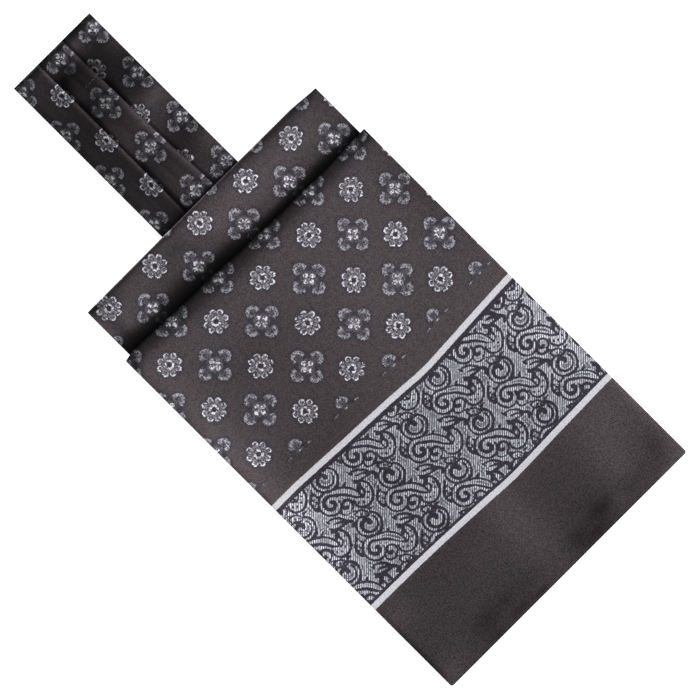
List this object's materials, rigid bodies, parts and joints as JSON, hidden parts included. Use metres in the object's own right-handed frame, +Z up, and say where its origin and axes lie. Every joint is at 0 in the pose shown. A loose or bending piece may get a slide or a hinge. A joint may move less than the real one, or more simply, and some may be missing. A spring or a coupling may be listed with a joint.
{
  "type": "folded silk cravat",
  "caption": "Silk day cravat folded flat: a wide square-ended figured blade over a pleated neckband, with silver stripes and a scrolled border.",
  "frame": {"origin": "middle of the underside of the whole folded cravat, on the surface that it lies on", "axes": "+Y up the cravat to the fold of the neckband, +X to the right seen from above with the neckband up, +Z up out of the surface"},
  "size_m": [0.1606, 0.3537, 0.0131],
  "materials": {
    "figured_silk": "charcoal silk satin with woven silver motifs, soft sheen",
    "silk_backing": "plain dark silk, soft sheen"
  },
  "bodies": {
    "root": {"front_blade": "figured_silk", "back_blade": "figured_silk", "neckband_front": "figured_silk", "neckband_back": "figured_silk", "folded_lengths": "silk_backing"}
  },
  "joints": []
}
